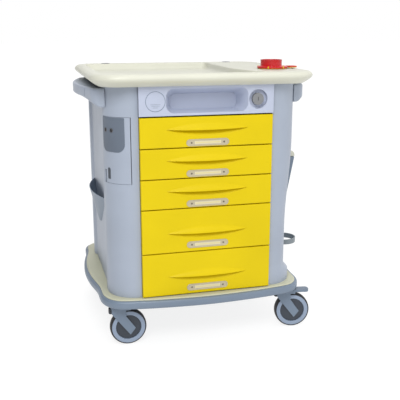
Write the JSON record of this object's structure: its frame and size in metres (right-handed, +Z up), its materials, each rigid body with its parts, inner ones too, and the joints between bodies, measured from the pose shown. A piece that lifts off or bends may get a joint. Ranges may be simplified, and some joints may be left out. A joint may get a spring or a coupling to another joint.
{
  "type": "crash cart",
  "caption": "Hospital crash cart: moulded column body with stacked slide-out drawers, cream worktop with sharps container, side handles and swivel casters.",
  "frame": {"origin": "on the floor under the middle of the cart's bounding box", "axes": "+Z up, X across the cart, -Y towards the user who opens the drawers"},
  "size_m": [0.7873, 0.7201, 0.946],
  "materials": {
    "bumper_grey": "fine moulded texture",
    "deck_cream": "satin moulded plastic",
    "frame_steel": "powder coat",
    "shell_blue_grey": "satin moulded plastic",
    "fascia_grey": "satin moulded plastic",
    "back_grey": "satin moulded plastic",
    "lock_plate_grey": "fine texture",
    "lock_metal": "polished",
    "knob_grey": "knurled",
    "worktop_cream": "satin gloss, thermoformed",
    "socket_dark": "satin",
    "sharps_yellow": "satin",
    "sharps_red": "satin",
    "runner_white": "smooth",
    "hoop_grey": "satin",
    "zinc_steel": "zinc plated",
    "drawer_yellow": "satin moulded plastic",
    "label_cream": "translucent",
    "tray_grey": "smooth",
    "caster_grey": "smooth",
    "tyre_black": "rubber"
  },
  "bodies": {
    "chassis": {"base_bumper": "bumper_grey", "base_deck": "deck_cream", "base_frame": "frame_steel", "base_pan": "frame_steel", "left_side_shell": "shell_blue_grey", "right_side_shell": "shell_blue_grey", "back_panel": "back_grey", "front_fascia": "fascia_grey", "fascia_blank_cap": "fascia_grey", "cabinet_runners": "runner_white", "worktop": "worktop_cream", "worktop_sockets": "socket_dark", "sharps_collar": "sharps_yellow", "left_push_handle": "shell_blue_grey", "right_push_handle": "shell_blue_grey", "left_pocket": "bumper_grey", "side_bin": "bumper_grey", "bin_hangers": "frame_steel", "cylinder_hoop": "hoop_grey", "caster_stems": "zinc_steel"},
    "drawer_1": {"drawer_front_1": "drawer_yellow", "drawer_tray_1": "tray_grey", "label_holder_1": "label_cream"},
    "drawer_2": {"drawer_front_2": "drawer_yellow", "drawer_tray_2": "tray_grey", "label_holder_2": "label_cream"},
    "drawer_3": {"drawer_front_3": "drawer_yellow", "drawer_tray_3": "tray_grey", "label_holder_3": "label_cream"},
    "drawer_4": {"drawer_front_4": "drawer_yellow", "drawer_tray_4": "tray_grey", "label_holder_4": "label_cream"},
    "drawer_5": {"drawer_front_5": "drawer_yellow", "drawer_tray_5": "tray_grey", "label_holder_5": "label_cream"},
    "hatch": {"column_hatch": "shell_blue_grey", "hatch_lock_plate": "lock_plate_grey"},
    "outer_lock": {"outer_lock_barrel": "lock_metal"},
    "inner_lock": {"inner_lock_barrel": "lock_metal"},
    "knob": {"lock_knob": "knob_grey"},
    "sharps": {"sharps_container": "sharps_yellow", "sharps_lid": "sharps_red"},
    "sharps_closure": {"sharps_flap": "sharps_red"},
    "bin_cover": {"bin_lid": "worktop_cream"},
    "front_left_caster": {"front_left_fork": "caster_grey"},
    "front_left_roller": {"front_left_wheel": "caster_grey", "front_left_tyre": "tyre_black"},
    "front_left_brake": {"front_left_pedal": "caster_grey"},
    "front_right_caster": {"front_right_fork": "caster_grey"},
    "front_right_roller": {"front_right_wheel": "caster_grey", "front_right_tyre": "tyre_black"},
    "front_right_brake": {"front_right_pedal": "caster_grey"},
    "rear_left_caster": {"rear_left_fork": "caster_grey"},
    "rear_left_roller": {"rear_left_wheel": "caster_grey", "rear_left_tyre": "tyre_black"},
    "rear_left_brake": {"rear_left_pedal": "caster_grey"},
    "rear_right_caster": {"rear_right_fork": "caster_grey"},
    "rear_right_roller": {"rear_right_wheel": "caster_grey", "rear_right_tyre": "tyre_black"},
    "rear_right_brake": {"rear_right_pedal": "caster_grey"}
  },
  "joints": [
    {"name": "drawer_1_slide", "type": "slide", "parent": "chassis", "child": "drawer_1", "axis": [0, -1, 0], "range_m": [0, 0.45]},
    {"name": "drawer_2_slide", "type": "slide", "parent": "chassis", "child": "drawer_2", "axis": [0, -1, 0], "range_m": [0, 0.45]},
    {"name": "drawer_3_slide", "type": "slide", "parent": "chassis", "child": "drawer_3", "axis": [0, -1, 0], "range_m": [0, 0.45]},
    {"name": "drawer_4_slide", "type": "slide", "parent": "chassis", "child": "drawer_4", "axis": [0, -1, 0], "range_m": [0, 0.45]},
    {"name": "drawer_5_slide", "type": "slide", "parent": "chassis", "child": "drawer_5", "axis": [0, -1, 0], "range_m": [0, 0.45]},
    {"name": "hatch_hinge", "type": "hinge", "parent": "chassis", "child": "hatch", "pos_m": [-0.24944, -0.30257, 0.6735], "axis": [0, 0, 1], "range_deg": [0, 110]},
    {"name": "outer_lock_turn", "type": "hinge", "parent": "hatch", "child": "outer_lock", "pos_m": [-0.31653, -0.24873, 0.738], "axis": [-0.9205, -0.3907, 0], "range_deg": [0, 90]},
    {"name": "inner_lock_turn", "type": "hinge", "parent": "hatch", "child": "inner_lock", "pos_m": [-0.30201, -0.27242, 0.738], "axis": [-0.766, -0.6428, 0], "range_deg": [0, 90]},
    {"name": "knob_turn", "type": "hinge", "parent": "chassis", "child": "knob", "pos_m": [0.169, -0.31, 0.829], "axis": [0, -1, 0], "range_deg": [0, 90]},
    {"name": "sharps_lift", "type": "slide", "parent": "chassis", "child": "sharps", "axis": [0, 0, 1], "range_m": [0, 0.19]},
    {"name": "flap_hinge", "type": "hinge", "parent": "sharps", "child": "sharps_closure", "pos_m": [0.3212, -0.17, 0.9246], "axis": [0, -1, 0], "range_deg": [0, 90]},
    {"name": "bin_lid_hinge", "type": "hinge", "parent": "chassis", "child": "bin_cover", "pos_m": [0.327, 0, 0.6085], "axis": [0, -1, 0], "range_deg": [0, 60]},
    {"name": "front_left_swivel", "type": "hinge", "parent": "chassis", "child": "front_left_caster", "pos_m": [-0.298, -0.26, 0.138], "axis": [0, 0, 1], "continuous": true},
    {"name": "front_left_spin", "type": "hinge", "parent": "front_left_caster", "child": "front_left_roller", "pos_m": [-0.265, -0.26, 0.0625], "axis": [0, -1, 0], "continuous": true},
    {"name": "front_left_brake_press", "type": "hinge", "parent": "front_left_caster", "child": "front_left_brake", "pos_m": [-0.262, -0.26, 0.136], "axis": [0, -1, 0], "range_deg": [-8, 0]},
    {"name": "front_right_swivel", "type": "hinge", "parent": "chassis", "child": "front_right_caster", "pos_m": [0.298, -0.26, 0.138], "axis": [0, 0, 1], "continuous": true},
    {"name": "front_right_spin", "type": "hinge", "parent": "front_right_caster", "child": "front_right_roller", "pos_m": [0.33059, -0.26516, 0.0625], "axis": [-0.1564, -0.9877, 0], "continuous": true},
    {"name": "front_right_brake_press", "type": "hinge", "parent": "front_right_caster", "child": "front_right_brake", "pos_m": [0.33356, -0.26563, 0.136], "axis": [-0.1564, -0.9877, 0], "range_deg": [-8, 0]},
    {"name": "rear_left_swivel", "type": "hinge", "parent": "chassis", "child": "rear_left_caster", "pos_m": [-0.298, 0.26, 0.138], "axis": [0, 0, 1], "continuous": true},
    {"name": "rear_left_spin", "type": "hinge", "parent": "rear_left_caster", "child": "rear_left_roller", "pos_m": [-0.265, 0.26, 0.0625], "axis": [0, -1, 0], "continuous": true},
    {"name": "rear_left_brake_press", "type": "hinge", "parent": "rear_left_caster", "child": "rear_left_brake", "pos_m": [-0.262, 0.26, 0.136], "axis": [0, -1, 0], "range_deg": [-8, 0]},
    {"name": "rear_right_swivel", "type": "hinge", "parent": "chassis", "child": "rear_right_caster", "pos_m": [0.298, 0.26, 0.138], "axis": [0, 0, 1], "continuous": true},
    {"name": "rear_right_spin", "type": "hinge", "parent": "rear_right_caster", "child": "rear_right_roller", "pos_m": [0.331, 0.26, 0.0625], "axis": [0, -1, 0], "continuous": true},
    {"name": "rear_right_brake_press", "type": "hinge", "parent": "rear_right_caster", "child": "rear_right_brake", "pos_m": [0.334, 0.26, 0.136], "axis": [0, -1, 0], "range_deg": [-8, 0]}
  ]
}
